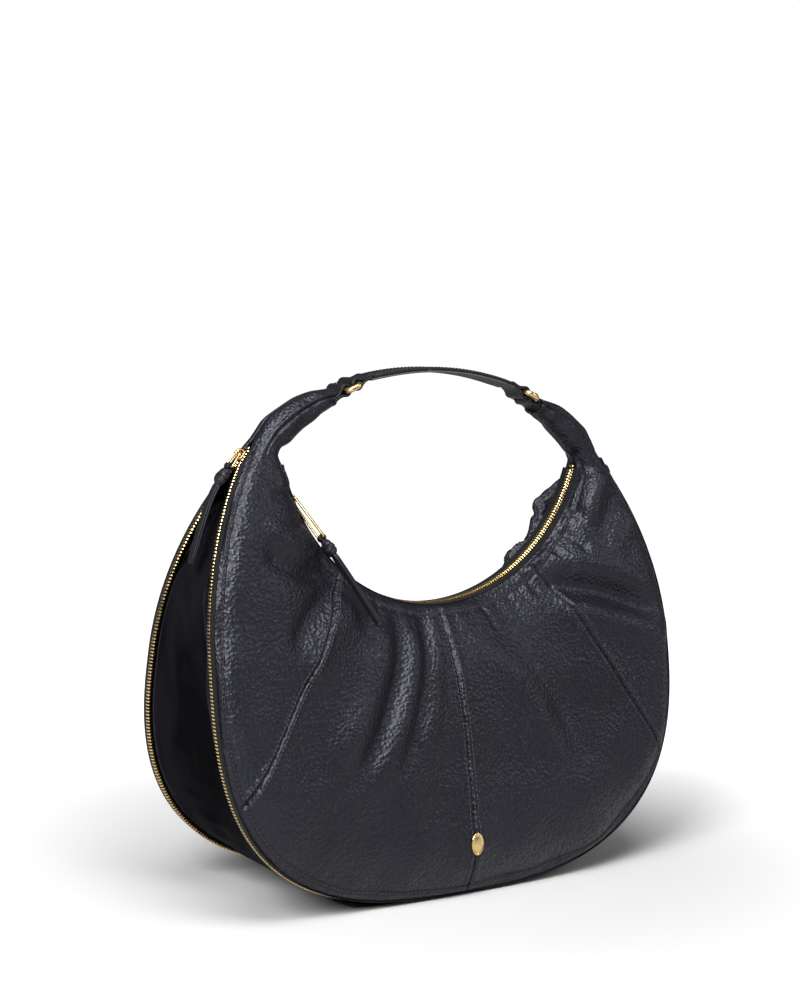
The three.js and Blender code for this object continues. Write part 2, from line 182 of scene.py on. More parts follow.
def arm_centre(k):
    """Middle of an arm, k = 0 at its foot and 1 at its loop: a quadratic curve, and the unit
    direction across it that points out of the bag."""
    foot, bend, top = (152, 338), (126, 364), (98.5, 371.5)
    x, z = (foot[i] * (1 - k) ** 2 + 2 * bend[i] * k * (1 - k) + top[i] * k * k for i in (0, 1))
    dx, dz = (2 * (bend[i] - foot[i]) * (1 - k) + 2 * (top[i] - bend[i]) * k for i in (0, 1))
    length = np.hypot(dx, dz)
    return x, z, dz / length, -dx / length


ARM_SHARE = 0.5


def face_base(s, v):
    """Smooth face without seams or folds, in mm: s along the crescent and on into the arms,
    v from the mouth edge to the rim. Straight across between the two edges, plus a swell in
    depth; in the arms the section turns into half an ellipse."""
    a = np.abs(s)
    k = (a - 1) / ARM_SHARE
    cx, cz, nx, nz = arm_centre(k)
    half = mix(13.0, 9.5, smooth(k)) - 2.5 * hump(k - 1, 0.22)
    join = smooth((a - 0.9) / 0.2)
    mx, mz = mouth_curve(np.minimum(a, 1.04))
    rx, rz = rim_curve(np.minimum(a, 1.04))
    row = row_depth(rz)
    mx, mz = mix(mx, cx - nx * half, join), mix(mz, cz - nz * half, join)
    rx, rz = mix(rx, cx + nx * half, join), mix(rz, cz + nz * half, join)
    flat = mix(10, row + 6.6, v)
    swell = mix(24, 6, np.minimum(a, 1) ** 2) * (1 - (2 * v - 1) ** 4)
    tube = 0.35 + mix(13.0, 10.5, smooth(k)) * np.sqrt(np.clip(1 - (2 * v - 1) ** 2, 0, 1))
    depth = mix(flat + swell, tube, smooth((a - mix(0.93, 0.955, v)) / mix(0.07, 0.05, v)))
    x, z = np.sign(s) * mix(mx, rx, v), mix(mz, rz, v)
    hem = 0.75 * smooth((v - 0.975) / 0.02) - 0.3 * smooth((0.025 - v) / 0.02)
    hem = hem * (1 - smooth((a - 0.96) / 0.03))
    t = s * math.radians(RIM_DEGREES)
    return np.stack([x + hem * np.sin(t), -depth, z - hem * np.cos(t)], -1)


def unit(a):
    """Vectors cut or stretched to length 1."""
    return a / np.linalg.norm(a, axis=-1, keepdims=True)


def face_normal(s, v):
    """Outward direction of the smooth face, from its slopes along s and v."""
    e = 2e-3
    v = np.clip(v, 0.012, 0.988)
    along = face_base(s + e, v) - face_base(s - e, v)
    down = face_base(s, v + e) - face_base(s, v - e)
    return unit(np.cross(down, along))


def crease(x, z, start, end, width, height, bow=0.0):
    """A groove (height < 0) or ridge from start to end, fading at its ends, bowed sideways."""
    (x0, z0), (x1, z1) = start, end
    length = math.hypot(x1 - x0, z1 - z0)
    ux, uz = (x1 - x0) / length, (z1 - z0) / length
    t = ((x - x0) * ux + (z - z0) * uz) / length
    d = (x - x0) * -uz + (z - z0) * ux - bow * 4 * t * (1 - t)
    fade = smooth((t + 0.12) / 0.3) * smooth((1.12 - t) / 0.3)
    return height * fade * hump(d, width)


def waves(x, z, seed):
    """Low unevenness of soft leather: six plane waves 35 to 120 mm long."""
    draw = np.random.default_rng(seed)
    total = 0
    for length in (120, 95, 74, 58, 44, 35):
        turn, shift = draw.uniform(0, 2 * math.pi, 2)
        total = total + length / 100 * np.sin(
            2 * math.pi * (x * math.cos(turn) + z * math.sin(turn)) / length + shift)
    return total


FRONT_CREASES = (
    ((96, 232), (198, 207), 10.5, -7.8, 4), ((100, 248), (192, 227), 11.0, 4.6, 5),
    ((104, 215), (200, 186), 13.0, 3.6, 3), ((152, 326), (134, 284), 6.5, -5.0, -7),
    ((168, 318), (143, 282), 7.5, 4.0, -5), ((181, 304), (150, 264), 8.0, -3.4, -4),
    ((192, 286), (160, 250), 9.0, 2.6, -3),
    ((-170, 262), (-108, 243), 8.0, -4.6, -4), ((-168, 277), (-112, 259), 10.0, 3.4, -4),
    ((-152, 192), (-101, 234), 9.0, -4.6, 6), ((-140, 174), (-86, 220), 12.0, 4.2, 6),
    ((-124, 112), (-60, 210), 13.0, 5.0, -9), ((-103, 98), (-44, 206), 9.0, -3.8, -8),
    ((-84, 100), (-30, 206), 11.0, 4.2, -7), ((-62, 104), (-18, 208), 8.0, -3.0, -5),
    ((-40, 112), (-8, 208), 8.0, 2.4, -3),
    ((98, 247), (106, 226), 3.4, -2.0, 1), ((110, 257), (124, 240), 3.6, -2.2, 1),
    ((121, 270), (138, 256), 3.8, -2.4, 1), ((86, 239), (90, 222), 3.2, -1.5, 0),
    ((-112, 262), (-128, 252), 3.6, -2.2, 0), ((-124, 284), (-146, 276), 4.2, -2.6, 2),
    ((-132, 304), (-160, 300), 4.4, -2.2, 2), ((-60, 222), (-66, 204), 3.2, -1.3, 0),
    ((-30, 214), (-34, 198), 3.2, -1.1, 0), ((40, 216), (46, 196), 3.4, -1.1, 0),
    ((30, 190), (92, 96), 14.0, 2.4, 6), ((60, 180), (118, 92), 14.0, -2.0, 6),
)
REAR_CREASES = (
    ((-104, 236), (-190, 214), 7.5, -4.6, -4), ((-100, 246), (-184, 228), 7.0, 3.0, -4),
    ((150, 320), (134, 290), 5.6, -3.4, -5), ((-152, 322), (-137, 290), 5.6, -3.4, 5),
    ((104, 242), (160, 252), 4.0, -3.2, 3), ((98, 236), (150, 196), 6.5, -3.6, -5),
    ((60, 214), (126, 116), 11.0, 2.8, 7), ((34, 206), (92, 100), 9.0, -2.2, 6),
    ((-36, 206), (-92, 104), 10.0, 2.2, -7), ((-12, 208), (-34, 112), 7.0, -1.6, -3),
    ((112, 258), (126, 242), 2.4, -2.6, 0), ((-112, 258), (-126, 244), 2.4, -2.6, 0),
    ((124, 276), (144, 268), 2.8, -2.6, 1), ((-124, 278), (-146, 270), 2.8, -2.4, 1),
)


def seam_span(seam, v):
    """Length in mm along the face, across the seam at s = seam, for each unit of s."""
    ahead, behind = (face_base(np.full_like(v, seam + e), v) for e in (0.004, -0.004))
    return np.linalg.norm(ahead - behind, axis=-1) / 0.008


def face_relief(s, v, creases, seed):
    """Height in mm above the smooth face: a trough with raised allowances at each seam, short
    puckers along seams and edges, the named creases, arm wrinkles with one fold that runs
    along each arm, and a low unevenness. All of it fades out where an edge is sewn down."""
    a = np.abs(s)
    base = face_base(s, v)
    x, z = base[..., 0], base[..., 2]
    height = 0.8 * waves(x, z, seed) * (1 - smooth((a - 1) / 0.1))
    on_body = 1 - smooth((a - 0.97) / 0.06)
    for start, end, width, rise, bow in creases:
        height = height + crease(x, z, start, end, width, rise, bow) * on_body
    for d in (x, (a - 0.5) * seam_span(0.5, v)):
        run = v * 205
        pucker = 0.3 * np.sin(run / 2.4 + 1.5 * np.sin(run / 11 + seed) + np.sign(d) * 0.8)
        height = height + on_body * (pucker * hump(d, 9) * (1 - hump(d, 2.4))
                                     + 0.75 * hump(np.abs(d) - 3.4, 2.6) - 1.5 * hump(d, 0.95))
    width = np.where(a < 1, face_length(s), 26)
    to_rim, to_mouth = (1 - v) * width, v * width
    along = s * 475
    gather = np.sin(along / 3.3 + 2.4 * np.sin(along / 13 + seed))
    height = height + on_body * (
        0.16 * gather * hump(to_rim - 12, 8) - 0.9 * hump(to_rim - 6.2, 1.1)
        + 0.8 * hump(to_rim - 2.8, 2.6))
    along = s * 199
    gather = np.sin(along / 2.6 + 2.2 * np.sin(along / 11 + 2 * seed))
    height = height + on_body * (
        0.26 * gather * hump(to_mouth - 13, 9) - 0.8 * hump(to_mouth - 7.5, 1.1)
        + 0.9 * hump(to_mouth - 3.5, 3.0))
    k = (a - 1) / ARM_SHARE
    on_arm = smooth((a - 0.94) / 0.1)
    wrinkle = (0.9 * np.sin(k * 21 + 3.0 * v + seed + np.sign(s)) * hump(k - 0.9, 0.35)
               + 0.8 * np.sin(k * 12 - 4.0 * v + 2 * seed - np.sign(s))
               + 1.1 * hump(v - 0.74, 0.06) - 1.4 * hump(v - 0.64, 0.04))
    height = height + on_arm * wrinkle * np.sin(math.pi * np.clip(v, 0, 1)) ** 0.5
    held = smooth(to_rim / 4) * smooth(to_mouth / 4)
    return height * mix(held, 1, on_arm)


def face_point(s, v, inset, side):
    """A point of the front (side = -1) or rear (side = 1) face in metres, inset in mm."""
    s, v = np.broadcast_arrays(np.asarray(s, float), np.asarray(v, float))
    creases, seed = (FRONT_CREASES, 3) if side < 0 else (REAR_CREASES, 8)
    base, normal = face_base(s, v), face_normal(s, v)
    point = base + normal * (face_relief(s, v, creases, seed) - inset)[..., None]
    roll = hump(v - 0.09, 0.09) * (1 - hump(v, 0.02))
    lobes = (hump(s - 0.78, 0.11) + 0.75 * hump(s - 0.55, 0.08)) if side > 0 else 0 * s
    lift = 20 * roll * lobes
    angle = s * math.radians(MOUTH_DEGREES)
    point = point + np.stack([-np.sin(angle) * lift, 0 * lift, np.cos(angle) * lift], -1)
    point[..., 1] = np.minimum(point[..., 1], -0.35)
    return point * np.array([1, -side, 1]) * MM


def seam_samples():
    """Stations along s: even, and closer together at the three seams."""
    body, arm = np.linspace(-1, 1, 531), np.linspace(1, 1 + ARM_SHARE, 62)[1:]
    even = np.concatenate([-arm, body, arm])
    near = np.linspace(-0.022, 0.022, 27)
    tight = np.sign(near) * np.abs(near) ** 1.4 * 0.22
    return np.unique(np.round(np.concatenate([even, tight, near - 0.5, near + 0.5]), 6))


def edge_samples(count):
    """Stations along v, closer together at both edges."""
    k = np.linspace(0, 1, count)
    return k - np.sin(2 * math.pi * k) / (2 * math.pi) * 0.72


stations = seam_samples()
LEATHER_THICKNESS = 2.0


def two_sided(name, outer, inner, flip):
    """Closed sheet from an outer grid (n, m, 3) and an inner grid (n, q, 3) of points in
    metres, joined along their four edges. flip turns every face round."""
    (n, m), q = outer.shape[:2], inner.shape[1]
    first = n * m
    points = np.concatenate([outer.reshape(-1, 3), inner.reshape(-1, 3)])
    faces = grid_faces(n, m, flip=not flip) + grid_faces(n, q, first, flip=flip)
    i = np.arange(n - 1)
    top = np.stack([i * m, (i + 1) * m, first + (i + 1) * q, first + i * q], -1)
    low = np.stack([i * m + m - 1, first + i * q + q - 1, first + (i + 1) * q + q - 1,
                    (i + 1) * m + m - 1], -1)
    faces += (top if not flip else top[:, ::-1]).tolist()
    faces += (low if not flip else low[:, ::-1]).tolist()
    for column, turn in ((0, flip), (n - 1, not flip)):
        ring = list(range(column * m, column * m + m))
        ring += list(range(first + column * q + q - 1, first + column * q - 1, -1))
        faces.append(ring if turn else ring[::-1])
    return numbered_mesh(name, points, faces)


def face_sheet(name, side, s, outer_v, inner_v, inset, thickness):
    """Sheet that lies inset mm inside the front or rear face and follows all its folds."""
    outer = face_point(s[:, None], outer_v[None, :], inset, side)
    inner = face_point(s[:, None], inner_v[None, :], inset + thickness, side)
    return two_sided(name, outer, inner, side > 0)


def shader(name, colour, roughness, metallic=0.0):
    """A material with its Principled shader, and two short-hands: node(type) and link(a, b)."""
    material = bpy.data.materials.new(name)
    material.use_nodes = True
    tree = material.node_tree
    principled = tree.nodes["Principled BSDF"]
    principled.inputs["Base Color"].default_value = (*colour, 1)
    principled.inputs["Roughness"].default_value = roughness
    principled.inputs["Metallic"].default_value = metallic

    def node(kind, **settings):
        made = tree.nodes.new(kind)
        for key, value in settings.items():
            if key in made.inputs:
                made.inputs[key].default_value = value
            else:
                setattr(made, key, value)
        return made

    return material, principled, node, tree.links.new


def colour_ramp(node, link, factor, low, high, stops=(0.3, 0.7)):
    """Colour that goes from low to high as factor passes between the two stops."""
    ramp = node("ShaderNodeValToRGB")
    ramp.color_ramp.elements[0].position, ramp.color_ramp.elements[1].position = stops
    ramp.color_ramp.elements[0].color = (*low, 1)
    ramp.color_ramp.elements[1].color = (*high, 1)
    link(factor, ramp.inputs["Fac"])
    return ramp.outputs["Color"]


def set_roughness(node, link, principled, factor, low, high, start=0.0, stop=1.0):
    """Roughness that goes from low to high as factor goes from start to stop."""
    rough = node("ShaderNodeMapRange")
    for key, value in (("From Min", start), ("From Max", stop), ("To Min", low), ("To Max", high)):
        rough.inputs[key].default_value = value
    link(factor, rough.inputs["Value"])
    link(rough.outputs["Result"], principled.inputs["Roughness"])


def set_bump(node, link, principled, height, strength, distance):
    """Relief from a height pattern, distance in metres."""
    bump = node("ShaderNodeBump", Strength=strength, Distance=distance)
    link(height, bump.inputs["Height"])
    link(bump.outputs["Normal"], principled.inputs["Normal"])


def pebbled_leather(name, dark, light, grain, depth, gloss):
    """Full-grain cowhide: rounded pebbles of a smoothed cell pattern with creases between
    them, painted shade that darkens those creases, finer pores, a slow change of tone, and gloss
    that is lower in the creases."""
    material, principled, node, link = shader(name, dark, gloss)
    place = node("ShaderNodeTexCoord").outputs["Object"]
    warp = node("ShaderNodeTexNoise", Scale=160.0, Detail=2.0)
    link(place, warp.inputs["Vector"])
    shift = node("ShaderNodeVectorMath", operation="MULTIPLY_ADD")
    link(warp.outputs["Color"], shift.inputs[0])
    shift.inputs[1].default_value = (0.0016, 0.0016, 0.0016)
    link(place, shift.inputs[2])
    cells = node("ShaderNodeTexVoronoi", feature="SMOOTH_F1", Scale=grain, Smoothness=0.55)
    link(shift.outputs["Vector"], cells.inputs["Vector"])
    pores = node("ShaderNodeTexNoise", Scale=grain * 4.5, Detail=3.0)
    link(place, pores.inputs["Vector"])
    tone = node("ShaderNodeTexNoise", Scale=9.0, Detail=4.0)
    link(place, tone.inputs["Vector"])
    shade = node("ShaderNodeMixRGB", blend_type="MULTIPLY", Fac=0.55)
    link(colour_ramp(node, link, tone.outputs["Fac"], dark, light), shade.inputs["Color1"])
    # painted shade: the base colour darkens towards the cell edges, in the creases between pebbles
    link(colour_ramp(node, link, cells.outputs["Distance"], (1, 1, 1), (0.6, 0.6, 0.65),
                     (0.3, 0.8)), shade.inputs["Color2"])
    link(shade.outputs["Color"], principled.inputs["Base Color"])
    set_roughness(node, link, principled, cells.outputs["Distance"], gloss - 0.05, gloss + 0.2,
                  0.2, 0.8)
    fine = node("ShaderNodeBump", Strength=0.12, Distance=0.0002)
    link(pores.outputs["Fac"], fine.inputs["Height"])
    pebble = node("ShaderNodeBump", invert=True, Strength=depth, Distance=0.0011)
    link(cells.outputs["Distance"], pebble.inputs["Height"])
    link(fine.outputs["Normal"], pebble.inputs["Normal"])
    link(pebble.outputs["Normal"], principled.inputs["Normal"])
    principled.inputs["Specular IOR Level"].default_value = 0.36
    principled.inputs["Specular Tint"].default_value = (0.86, 0.88, 1.0, 1.0)
    return material


black_leather = pebbled_leather("pebbled_black_leather", (0.0035, 0.0032, 0.0055),
                                (0.0072, 0.0066, 0.0108), grain=380.0, depth=0.72, gloss=0.35)
for side_name, side in (("front", -1), ("rear", 1)):
    face = face_sheet(side_name + "_face", side, stations, edge_samples(118), edge_samples(16),
                      0.0, LEATHER_THICKNESS)
    face.data.materials.append(black_leather)
    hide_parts(*(f"{side_name}_{part}_{hand}_panel"
                        for part in ("inner", "outer") for hand in ("left", "right")))
    if side < 0:
        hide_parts("left_arm", "right_arm")
    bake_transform(face)


# ---- Linings and slip pocket ----
# Dark twill cloth glued to the padding inside each face and on the gusset, with one slip pocket
# sewn to the rear lining and open along its top.
def twill_cloth(name, dark, light):
    """Diagonal ribs from a band pattern, with uneven yarn from noise."""
    material, principled, node, link = shader(name, dark, 0.85)
    place = node("ShaderNodeTexCoord").outputs["Object"]
    ribs = node("ShaderNodeTexWave", bands_direction="DIAGONAL", Scale=250.0, Distortion=0.6)
    link(place, ribs.inputs["Vector"])
    yarn = node("ShaderNodeTexNoise", Scale=700.0, Detail=4.0)
    link(place, yarn.inputs["Vector"])
    blend = node("ShaderNodeMath", operation="MULTIPLY_ADD")
    link(ribs.outputs["Fac"], blend.inputs[0])
    blend.inputs[1].default_value = 0.6
    link(yarn.outputs["Fac"], blend.inputs[2])
    link(colour_ramp(node, link, blend.outputs["Value"], dark, light, (0.4, 1.2)),
         principled.inputs["Base Color"])
    set_roughness(node, link, principled, yarn.outputs["Fac"], 0.75, 0.95)
    set_bump(node, link, principled, blend.outputs["Value"], 0.5, 0.0003)
    principled.inputs["Sheen Weight"].default_value = 0.15
    return material


lining_twill = twill_cloth("lining_twill", (0.022, 0.020, 0.019), (0.045, 0.041, 0.038))
lining_s, lining_v = np.linspace(-0.9, 0.9, 181), np.linspace(0.06, 0.96, 30)
for side_name, side in (("front", -1), ("rear", 1)):
    cloth = face_sheet(side_name + "_face_lining", side, lining_s, lining_v, lining_v, 5.0, 0.8)
    cloth.data.materials.append(lining_twill)
    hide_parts(side_name + "_lining")
    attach(cloth, "bag")
pocket = face_sheet("inside_pocket", 1, np.linspace(-0.3, 0.3, 61), np.linspace(0.32, 0.72, 16),
                    np.linspace(0.32, 0.72, 16), 7.8, 0.8)
pocket.data.materials.append(lining_twill)
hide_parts("slip_pocket")
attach(pocket, "bag")


# ---- Expansion gusset ----
# Black napped suede sewn between the faces all round: flat where the bag stands, pushed in to
# a loose pleat up both sides, with its edges held under the two rows of zip teeth.
def outward(curve, s):
    """Unit direction across a curve, away from the middle of the mouth, by small steps."""
    (ax, az), (bx, bz) = curve(s - 1e-4), curve(s + 1e-4)
    length = np.hypot(bx - ax, bz - az)
    return (bz - az) / length, -(bx - ax) / length


def beside(curve, s, out):
    """Points beside a curve in mm, out towards its outward direction."""
    (x, z), (nx, nz) = curve(s), outward(curve, s)
    return x + nx * out, z + nz * out


def gusset_point(s, share, inset):
    """A point of the gusset in metres. The foot lies level at z = 0. Higher up the suede runs
    1.9 mm inside the rim, and the pleat carries its middle 23 mm further in, as a soft V whose
    walls belly a little and ripple. Shares past 1 turn in behind the teeth and up to the
    tape that the edge is sewn to, but for the top, where the slider needs the room."""
    s, share = np.broadcast_arrays(s, share)
    a, b = np.abs(s), np.minimum(np.abs(share), 1)
    x, z = rim_curve(s)
    nx, nz = outward(rim_curve, s)
    row = row_depth(z)
    rise = smooth((a - 0.075) / 0.2)
    fold = smooth((a - 0.24) / 0.22) * (1 - smooth((a - 0.6) / 0.3))
    wander = 0.07 * np.sin(a * 23 + np.sign(s)) + 0.04 * np.sin(a * 51)
    middle = np.clip(np.abs(share - wander * fold), 0, 1)
    pleat = 23 * fold * (1 - middle ** 1.15) * (1 - b ** 6)
    belly = 3.2 * fold * np.sin(math.pi * b) ** 2
    ripple = (0.7 * np.sin(a * 61 + 5 * share) + 0.5 * np.sin(a * 97 - 8 * share + 1.3)
              + 0.35 * np.sin(a * 33 + 13 * share))
    ripple = ripple * np.sin(math.pi * b) * smooth((a - 0.12) / 0.15)
    near = 1 - smooth((a - 0.79) / 0.05)
    recess = mix(7.5, 1.9, near) + pleat - belly - ripple
    open_x, open_z = x - nx * (recess * rise + inset), mix(0, z - nz * recess, rise) - nz * inset
    turned = np.interp(np.abs(share), (1.0, 1.1, 1.2, 1.3), (-2.2, -2.2, -2.2, 0.5))
    turned = mix(-7.6, turned, near) - inset
    edge = np.abs(share) > 1.05
    y = row + mix(np.abs(share) - 2.3, np.interp(np.abs(share), (1.1, 1.2, 1.3), (-1.4, 3.2, 3.4)),
                  near)
    return np.stack([np.where(edge, x + nx * turned, open_x),
                     np.sign(share) * np.where(edge, y, b * (row - 1.4)),
                     np.where(edge, z + nz * turned, open_z)], -1) * MM


def napped_suede(name, dark, light):
    """Suede: a soft nap of very fine noise, upright brush strokes lighter and darker, a
    faint sheen."""
    material, principled, node, link = shader(name, dark, 0.95)
    place = node("ShaderNodeTexCoord").outputs["Object"]
    nap = node("ShaderNodeTexNoise", Scale=1500.0, Detail=5.0, Roughness=0.7)
    link(place, nap.inputs["Vector"])
    stroke = node("ShaderNodeMapping")
    stroke.inputs["Scale"].default_value = (1.0, 1.6, 0.3)
    link(place, stroke.inputs["Vector"])
    brushed = node("ShaderNodeTexNoise", Scale=34.0, Detail=5.0, Distortion=0.5)
    link(stroke.outputs["Vector"], brushed.inputs["Vector"])
    shade = node("ShaderNodeMixRGB", blend_type="MULTIPLY", Fac=0.7)
    link(colour_ramp(node, link, brushed.outputs["Fac"], dark, light, (0.38, 0.66)),
         shade.inputs["Color1"])
    link(colour_ramp(node, link, nap.outputs["Fac"], (0.55, 0.55, 0.55), (1, 1, 1)),
         shade.inputs["Color2"])
    link(shade.outputs["Color"], principled.inputs["Base Color"])
    set_roughness(node, link, principled, brushed.outputs["Fac"], 0.88, 1.0)
    set_bump(node, link, principled, nap.outputs["Fac"], 0.55, 0.0004)
    principled.inputs["Sheen Weight"].default_value = 0.03
    principled.inputs["Sheen Roughness"].default_value = 0.35
    principled.inputs["Sheen Tint"].default_value = (0.6, 0.62, 0.8, 1)
    principled.inputs["Specular IOR Level"].default_value = 0.06
    return material


black_suede = napped_suede("black_suede_nap", (0.0007, 0.0006, 0.0011), (0.0056, 0.005, 0.0076))
gusset_s = np.linspace(-0.955, 0.955, 300)
gusset_edge = np.array([1.1, 1.2, 1.3])
gusset_share = np.concatenate([-gusset_edge[::-1], np.linspace(-1, 1, 73), gusset_edge])
back_share = np.concatenate([-gusset_edge[::-1], np.linspace(-1, 1, 19), gusset_edge])
gusset = two_sided("suede_gusset", gusset_point(gusset_s[:, None], gusset_share[None, :], 0.0),
                   gusset_point(gusset_s[:, None], back_share[None, :], 1.6), True)
gusset.data.materials.append(black_suede)
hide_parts("gusset_base", "gusset_left_side", "gusset_right_side")
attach(gusset, "bag")
inner_s, inner_share = np.linspace(-0.9, 0.9, 180), np.linspace(-0.9, 0.9, 25)
gusset_back = two_sided("gusset_cloth", gusset_point(inner_s[:, None], inner_share[None, :], 4.6),
                        gusset_point(inner_s[:, None], inner_share[None, :], 5.4), True)
gusset_back.data.materials.append(lining_twill)
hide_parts("gusset_lining")
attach(gusset_back, "bag")


# ---- Zip tapes and teeth ----
# Woven black tapes with metal teeth clamped to their edges: one open row round the rim of each
# face, and the two rows of the mouth zip, which mesh with each other.
def plated_gold(name, colour=(0.83, 0.60, 0.27), roughness=0.2):
    """Pale gold plate on brass: cloudy tone, fine brushed lines and a few dull patches."""
    material, principled, node, link = shader(name, colour, roughness, 1.0)
    place = node("ShaderNodeTexCoord").outputs["Object"]
    clouds = node("ShaderNodeTexNoise", Scale=140.0, Detail=4.0)
    link(place, clouds.inputs["Vector"])
    stretch = node("ShaderNodeMapping")
    stretch.inputs["Scale"].default_value = (220.0, 2600.0, 700.0)
    link(place, stretch.inputs["Vector"])
    lines = node("ShaderNodeTexNoise", Scale=1.0, Detail=3.0)
    link(stretch.outputs["Vector"], lines.inputs["Vector"])
    deep = tuple(c * 0.8 for c in colour)
    link(colour_ramp(node, link, clouds.outputs["Fac"], deep, colour, (0.3, 0.6)),
         principled.inputs["Base Color"])
    set_roughness(node, link, principled, clouds.outputs["Fac"], roughness, roughness + 0.17,
                  0.3, 0.75)
    set_bump(node, link, principled, lines.outputs["Fac"], 0.08, 0.0001)
    return material


def woven_tape(name, dark, light):
    """Zip tape: ribs in two crossing directions, dull, with a faint sheen."""
    material, principled, node, link = shader(name, dark, 0.8)
    place = node("ShaderNodeTexCoord").outputs["Object"]
    warp = node("ShaderNodeTexWave", bands_direction="DIAGONAL", Scale=330.0, Distortion=0.4)
    weft = node("ShaderNodeTexWave", bands_direction="Y", Scale=420.0, Distortion=0.5)
    link(place, warp.inputs["Vector"])
    link(place, weft.inputs["Vector"])
    cross = node("ShaderNodeMath", operation="MULTIPLY")
    link(warp.outputs["Fac"], cross.inputs[0])
    link(weft.outputs["Fac"], cross.inputs[1])
    link(colour_ramp(node, link, cross.outputs["Value"], dark, light, (0.0, 0.8)),
         principled.inputs["Base Color"])
    set_roughness(node, link, principled, cross.outputs["Value"], 0.7, 0.92)
    set_bump(node, link, principled, cross.outputs["Value"], 0.6, 0.0003)
    principled.inputs["Sheen Weight"].default_value = 0.02
    principled.inputs["Specular IOR Level"].default_value = 0.2
    return material


gold_plate = plated_gold("gold_plate")
tape_weave = woven_tape("tape_weave", (0.0016, 0.0016, 0.002), (0.006, 0.006, 0.0075))
TOOTH_PITCH = 2.5
RIM_OUT, MOUTH_OUT = 1.2, -0.7
MOUTH_CHAIN = 73.5 / MOUTH_DEGREES


def tooth_form():
    """One tooth, in mm: along the chain, across it from the nose, and out of the tape. An
    eight-sided section, thinner at both faces, so that its edges are softened."""
    section = np.array([(-1.25, 0.45), (-0.5, 1.1), (2.3, 1.3), (2.7, 0.9), (2.7, -0.9),
                        (2.3, -1.3), (-0.5, -1.1), (-1.25, -0.45)])
    slices = [(-0.66, 0.8), (-0.46, 1.0), (0.46, 1.0), (0.66, 0.8)]
    middle = np.array([0.7, 0.0])
    rings = [np.column_stack([np.full(8, at), middle + (section - middle) * size])
             for at, size in slices]
    faces = grid_faces(4, 8, close_columns=True)
    faces += [list(range(7, -1, -1)), list(range(24, 32))]
    return np.concatenate(rings), faces


def tooth_chain(name, curve, s_end, depth, out, side, shift):
    """Teeth at equal steps along a curve: each is the one form, turned to the curve's own
    direction. depth gives the nose line's distance from the middle at a height."""
    fine = np.linspace(-s_end, s_end, 4001)
    x, z = curve(fine)
    run = np.concatenate([[0], np.cumsum(np.hypot(np.diff(x), np.diff(z)))])
    s = np.interp(np.arange(1 + shift, run[-1] - 1, TOOTH_PITCH), run, fine)
    nx, nz = outward(curve, s)
    x, z = beside(curve, s, out)
    form, faces = tooth_form()
    zero = 0 * s
    place = np.stack([x, side * depth(curve(s)[1]), z], -1)
    along = np.stack([-nz, zero, nx], -1)
    across = np.stack([zero, zero + side, zero], -1)
    up = np.stack([nx, zero, nz], -1)
    points = (place[:, None] + form[None, :, 0:1] * along[:, None]
              + form[None, :, 1:2] * across[:, None] + form[None, :, 2:3] * up[:, None])
    handed = np.linalg.det(np.stack([along[0], across[0], up[0]])) > 0
    faces = [f if handed else f[::-1] for f in faces]
    every = [[c + k * len(form) for c in f] for k in range(len(s)) for f in faces]
    chain = numbered_mesh(name, points.reshape(-1, 3) * MM, every)
    chain.data.shade_flat()
    chain.data.materials.append(gold_plate)
    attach(chain, "bag")
    return chain


def tape_strip(name, curve, s_end, near, far, out0, out1, side):
    """Tape of even thickness along a curve between two distances from the middle, given as
    functions of the height, with its outer face rounded a little."""
    s = np.linspace(-s_end, s_end, 321)[:, None]
    share = np.linspace(0, 1, 7)[None, :]
    level = curve(s)[1]
    y = side * mix(near(level), far(level), share)
    crown = 0.18 * np.sin(math.pi * share)
    sheets = []
    for out in (out1 + crown, out0 + 0 * crown):
        x, z = beside(curve, s, out)
        sheets.append(np.stack(np.broadcast_arrays(x, y, z), -1) * MM)
    strip = two_sided(name, sheets[0], sheets[1], (side > 0) == (out1 > out0))
    strip.data.materials.append(tape_weave)
    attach(strip, "bag")
    return strip


for side_name, side in (("front", -1), ("rear", 1)):
    teeth = tooth_chain(f"rim_teeth_{side_name}", rim_curve, 0.99, row_depth, RIM_OUT, side, 0)
    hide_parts("expansion_teeth_" + side_name)
    strip = tape_strip(f"rim_tape_{side_name}", rim_curve, 0.99,
                       lambda z: row_depth(z) + 0.3, lambda z: row_depth(z) + 7.4, 0.8, 1.6, side)
    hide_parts("expansion_tape_" + side_name)
    teeth = tooth_chain(f"mouth_chain_{side_name}", mouth_curve, MOUTH_CHAIN,
                        lambda z: 0.75 + 0 * z, MOUTH_OUT, side,
                        0 if side < 0 else TOOTH_PITCH / 2)
    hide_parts("mouth_teeth_" + side_name)
    strip = tape_strip(f"mouth_strip_{side_name}", mouth_curve, MOUTH_CHAIN,
                       lambda z: 1.1 + 0 * z, lambda z: 10.2 + 0 * z, -0.3, -1.1, side)
    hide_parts("mouth_tape_" + side_name)


